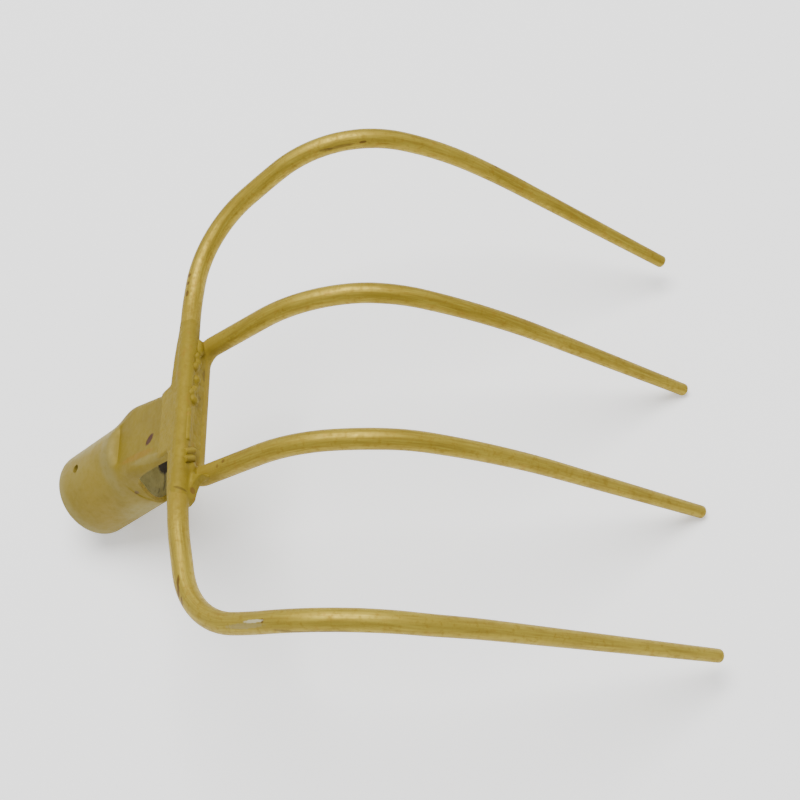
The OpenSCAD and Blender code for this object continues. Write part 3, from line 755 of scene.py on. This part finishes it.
def rod_paint():
    """Brushed gold paint over drawn rod, with rust showing in its chips, painted light making it lighter
    towards +X, and painted shade under the right root's lip.
    """
    f = Finish("rod_gold_paint")
    bar = f.stored("on_bar")
    streak = f.noise(0.8, 4, 0.6, bar, (0.05, 1, 1))
    broad = f.noise(26, 2)
    mottle = f.noise(2.4, 4, 0.6)
    colour = f.blend(f.band(broad, 0.35, 0.65), linear(150, 128, 40), linear(163, 141, 48))
    # Painted light: lighter towards +X, where the rods catch more of the light.
    across = f.put("SeparateXYZ", "X", {"Vector": f.place})
    colour = f.blend(f.band(across, -0.03, 0.12, 0, 0.45), colour, linear(172, 152, 60))
    colour = f.blend(f.band(streak, 0.45, 0.75, 0, 0.55), colour, linear(188, 170, 66))
    colour = f.blend(f.band(streak, 0.5, 0.3, 0, 0.4), colour, linear(124, 100, 30))
    colour = f.blend(f.band(mottle, 0.52, 0.72, 0, 0.5), colour, linear(132, 106, 26))
    colour = f.blend(f.band(f.noise(6, 4, 0.7), 0.56, 0.72, 0, 0.4), colour, linear(148, 108, 30))
    chips = [f.spot((90.5, -70.5, 95.5), (3.2, 0.8, 1.6)), f.spot((95.8, -70.2, 96), (3.6, 0.9, 1.6)),
             f.spot((101.0, -68.3, 96.8), (3.2, 0.8, 1.6)), f.spot((-72.3, -76.6, 93), (1.2, 1.1, 1.3)),
             f.spot((-67.8, -77, 92.7), (1.1, 1, 1.2)), f.spot((-61.8, -77, 92.7), (1.8, 1, 1.3)),
             f.spot((34.4, -53.7, 95.7), (1.0, 1.0, 1.2)), f.spot((35.5, -57, 93.7), (0.9, 0.9, 1)),
             f.spot((-123.2, 75.0, 83.9), (0.9, 0.9, 0.9)),
             f.spot((-118.6, 14.9, 119.5), (2.2, 0.7, 0.7), (0, 1, 0)),
             f.spot((120.7, -27.4, 117.4), (1.0, 0.8, 1))]
    stains = [f.spot((-116.9, 3.9, 120.4), (8, 0.8, 0.8), (-1.5, 14, -0.5)),
              f.spot((-115.8, -3, 120.5), (5, 0.7, 0.8), (0, 1, 0)),
              f.spot((127, -7, 118), (20, 0.9, 0.9), (3.5, 27.5, 1.7))]
    for stain in stains:
        colour = f.blend(f.both(stain, 0.6), colour, linear(104, 84, 40))
    for chip in chips:
        colour = f.blend(f.both(chip, 0.75), colour, linear(92, 62, 30))
    for place, radii, share, paint in (((120.2, -37, 112.6), (12, 1.3, 1.5), 0.5, (160, 148, 104)),
                                       ((119.7, -31.8, 115.6), (5.2, 0.7, 1.1), 0.8, (206, 200, 166))):
        colour = f.blend(f.both(f.spot(place, radii, (0.7, 3.3, 1.5), 0.8), share), colour, linear(*paint))
    # Painted shade: a dark line on the outer rod where the right root's weld lip overhangs it.
    lip_shadow = f.spot((44.1, -73.8, 91.9), (3.4, 0.6, 2.5), (1.4, 4.7, -3.1))
    colour = f.blend(f.both(lip_shadow, 0.7), colour, linear(92, 74, 20))
    dull = f.spot((4, -74.2, 83.6), (64, 26, 26), ragged=0.5)
    colour = f.blend(f.both(dull, 0.8), colour, linear(137, 116, 30))
    height = f.maths("ADD", f.both(streak, 0.5), f.both(mottle, 0.8))
    rough = f.maths("ADD", f.band(mottle, 0.3, 0.7, 0.45, 0.62), f.both(dull, 0.2))
    metal = f.maths("SUBTRACT", 0.65, f.both(dull, 0.45))
    return f.finish(colour, rough, metal, height, 0.12, 0.5)


def weld_paint():
    """The same paint, thicker and duller over weld metal, with painted shade in the groove and along the
    right root's lip.
    """
    f = Finish("weld_gold_paint")
    broad = f.noise(9, 3)
    mottle = f.noise(1.8, 4, 0.6)
    colour = f.blend(f.band(broad, 0.35, 0.65), linear(130, 111, 24), linear(137, 118, 28))
    colour = f.blend(f.band(mottle, 0.5, 0.7, 0, 0.4), colour, linear(124, 100, 24))
    colour = f.blend(f.band(f.noise(5, 3), 0.6, 0.72, 0, 0.3), colour, linear(146, 104, 28))
    # Painted shade: dark marks in the groove between weld lumps and along the right root's lip, the first one
    # reddish.
    for place, radii, way, paint, share in (
            ((43.4, -69.5, 87.8), (1.5, 1.0, 2.5), (1, 0, 0), (104, 68, 30), 0.6),
            ((44.1, -73.8, 91.9), (3.4, 0.6, 2.5), (1.4, 4.7, -3.1), (92, 74, 20), 0.7),
            ((-0.8, -71.4, 84.6), (1.6, 1.2, 2), (1, 0, 0), (96, 78, 20), 0.6),
            ((-6.1, -70.7, 84.4), (1.8, 1.1, 2), (1, 0, 0), (96, 78, 20), 0.6),
            ((-20, -69.2, 82.5), (3.4, 0.6, 2.5), (1, 0, 0), (96, 78, 20), 0.6)):
        colour = f.blend(f.both(f.spot(place, radii, way), share), colour, linear(*paint))
    height = f.maths("ADD", f.both(f.noise(0.9, 4), 0.5), mottle)
    return f.finish(colour, f.band(mottle, 0.3, 0.7, 0.62, 0.78), 0.2, height, 0.15, 0.6)


def socket_paint():
    """Thin gold paint on rolled sheet, rubbed grey by hands and by the handle's wedge, with a painted sheen
    along the crease, painted shade just before it and a painted highlight on the tongue's right margin.
    """
    f = Finish("socket_gold_paint")
    strip = f.stored("on_strip")
    broad = f.noise(14, 3)
    mottle = f.noise(3, 4, 0.6)
    fine = f.noise(0.8, 4, 0.6)
    tube = f.blend(f.band(broad, 0.35, 0.65), linear(132, 114, 38), linear(138, 121, 47))
    for patch in (f.patch(strip, 42, 27, 34, 9), f.patch(strip, 70, 18, 30, 8)):
        tube = f.blend(f.both(patch, 0.55), tube, linear(138, 117, 32))
    # Painted shade: darker just before the crease, to damp the flare's highlight.
    tube = f.blend(f.both(f.patch(strip, 5, 43, 32, 5), 0.6), tube, linear(116, 100, 30))
    # The first patch is a painted sheen: a light grey line along the crease; the other three are rubbed grey
    # wear.
    for patch, share in ((f.patch(strip, 12, 41.5, 50, 4, 0.4), 0.35), (f.patch(strip, -38, 22, 20, 20), 0.5),
                         (f.patch(strip, 112, 34, 24, 12), 0.4), (f.patch(strip, 60, 1, 80, 4), 0.4)):
        tube = f.blend(f.both(patch, share), tube, linear(150, 140, 88))
    tongue = f.blend(f.band(broad, 0.35, 0.65), linear(128, 110, 24), linear(122, 104, 22))
    past = f.put("SeparateXYZ", "Z", {"Vector": strip})
    colour = f.blend(f.band(past, -0.0012, 0.0008), tube, tongue)
    # An orange rust band on the tongue, then a painted highlight: a lighter grey band along the tongue's
    # rounded right margin.
    for place, radii, way, paint, share in (
            ((13.0, -103.4, 71), (14, 1.9, 4), (3.8, 21.4, 16.4), (136, 102, 10), 0.6),
            ((18.6, -94.8, 76.8), (15, 2.1, 3), (4.6, 18.5, 13.6), (138, 125, 64), 0.55)):
        colour = f.blend(f.both(f.spot(place, radii, way, 0.5), share), colour, linear(*paint))
    colour = f.blend(f.band(mottle, 0.54, 0.74, 0, 0.35), colour, linear(124, 104, 36))
    colour = f.blend(f.band(fine, 0.58, 0.72, 0, 0.2), colour, linear(152, 138, 70))
    rust = f.spot((8.0, -95.8, 76.7), (3.6, 1.9, 3), (-2.8, 3.3, 2.5))
    colour = f.blend(f.both(rust, 0.95), colour, linear(66, 32, 20))
    colour = f.blend(f.both(f.spot((21.4, -109.5, 51.8), (1.6, 1.2, 1.2)), 0.7), colour, linear(96, 74, 52))
    height = f.maths("ADD", f.both(mottle, 0.8), f.both(fine, 0.3))
    return f.finish(colour, f.band(mottle, 0.3, 0.7, 0.55, 0.7), 0.25, height, 0.12, 0.5)


def lip_paint():
    """Darker paint on the sheet's cut edges."""
    f = Finish("lip_gold_paint")
    mottle = f.noise(1.6, 4, 0.6)
    colour = f.blend(f.band(mottle, 0.35, 0.65), linear(132, 114, 18), linear(120, 98, 12))
    return f.finish(colour, 0.75, 0.1, mottle, 0.1, 0.5)


def bare_steel():
    """The tube's unpainted inside, with painted shadow where it lies in deep shade."""
    f = Finish("bare_steel")
    broad, mottle = f.noise(7, 3), f.noise(1.5, 4, 0.6)
    colour = f.blend(f.band(broad, 0.35, 0.65), linear(156, 146, 84), linear(170, 160, 100))
    colour = f.blend(f.band(mottle, 0.55, 0.75, 0, 0.4), colour, linear(120, 100, 60))
    # Painted shadow: dark spots on the bore's inner wall where it lies in deep shade under the tongue and
    # rod.
    for place, radii, share in (((-8.4, -107, 24), (5, 5, 6), 0.95), ((-1, -107, 21.5), (10, 0.8, 1.2), 0.5),
                                ((4, -110.5, 18.6), (2, 1, 1.2), 0.4)):
        colour = f.blend(f.both(f.spot(place, radii), share), colour, linear(40, 28, 18))
    return f.finish(colour, f.band(mottle, 0.3, 0.7, 0.5, 0.7), 0.35, mottle, 0.1, 0.5)


rod_gold, weld_gold, socket_gold = rod_paint(), weld_paint(), socket_paint()
steel, lip_gold = bare_steel(), lip_paint()
for piece in rods + welds:
    piece.data.materials.clear()
    piece.data.materials.append(rod_gold if piece in rods else weld_gold)
for slot, material in enumerate((socket_gold, steel, lip_gold)):
    socket.data.materials[slot] = material


# ---- stage -----------------------------------------------------------------------------------------

bpy.ops.object.select_all(action="DESELECT")
bpy.ops.mesh.primitive_plane_add(size=8, location=(0, 0, 0))
floor = added("studio_floor")
paper = bpy.data.materials.new("studio_paper")
paper.use_nodes = True
paper.node_tree.nodes["Principled BSDF"].inputs["Base Color"].default_value = (0.9, 0.9, 0.9, 1)
paper.node_tree.nodes["Principled BSDF"].inputs["Roughness"].default_value = 0.9
paper.node_tree.nodes["Principled BSDF"].inputs["Emission Color"].default_value = (1, 1, 1, 1)
paper.node_tree.nodes["Principled BSDF"].inputs["Emission Strength"].default_value = 0.5
floor.data.materials.append(paper)


def soft_light(name, place, size, power):
    light = bpy.data.lights.new(name, "AREA")
    light.shape = "DISK"
    light.size = size
    light.energy = power
    lamp = bpy.data.objects.new(name, light)
    bpy.context.scene.collection.objects.link(lamp)
    lamp.location = place
    lamp.rotation_euler = (-Vector(place)).to_track_quat("-Z", "Y").to_euler()


soft_light("overhead_softbox", (-0.6, -0.1, 2.4), 1.8, 92)
world = bpy.data.worlds.new("studio")
bpy.context.scene.world = world
world.use_nodes = True
world.node_tree.nodes["Background"].inputs["Color"].default_value = (1, 1, 1, 1)
world.node_tree.nodes["Background"].inputs["Strength"].default_value = 0.6

eye = bpy.data.cameras.new("view")
eye.sensor_width = 36
eye.lens = 62.4095
eye.clip_start = 0.01
camera = bpy.data.objects.new("view", eye)
bpy.context.scene.collection.objects.link(camera)
right = Vector((0.0197427, 0.9850554, -0.1711025))
down = Vector((0.8545795, -0.1054535, -0.5085012))
ahead = Vector((-0.5189452, -0.1361815, -0.8438901))
turned = Matrix((right, -down, -ahead)).transposed().to_4x4()
turned.translation = Vector((0.3306041, 0.1094589, 0.6126008))
camera.matrix_world = turned
bpy.context.scene.camera = camera
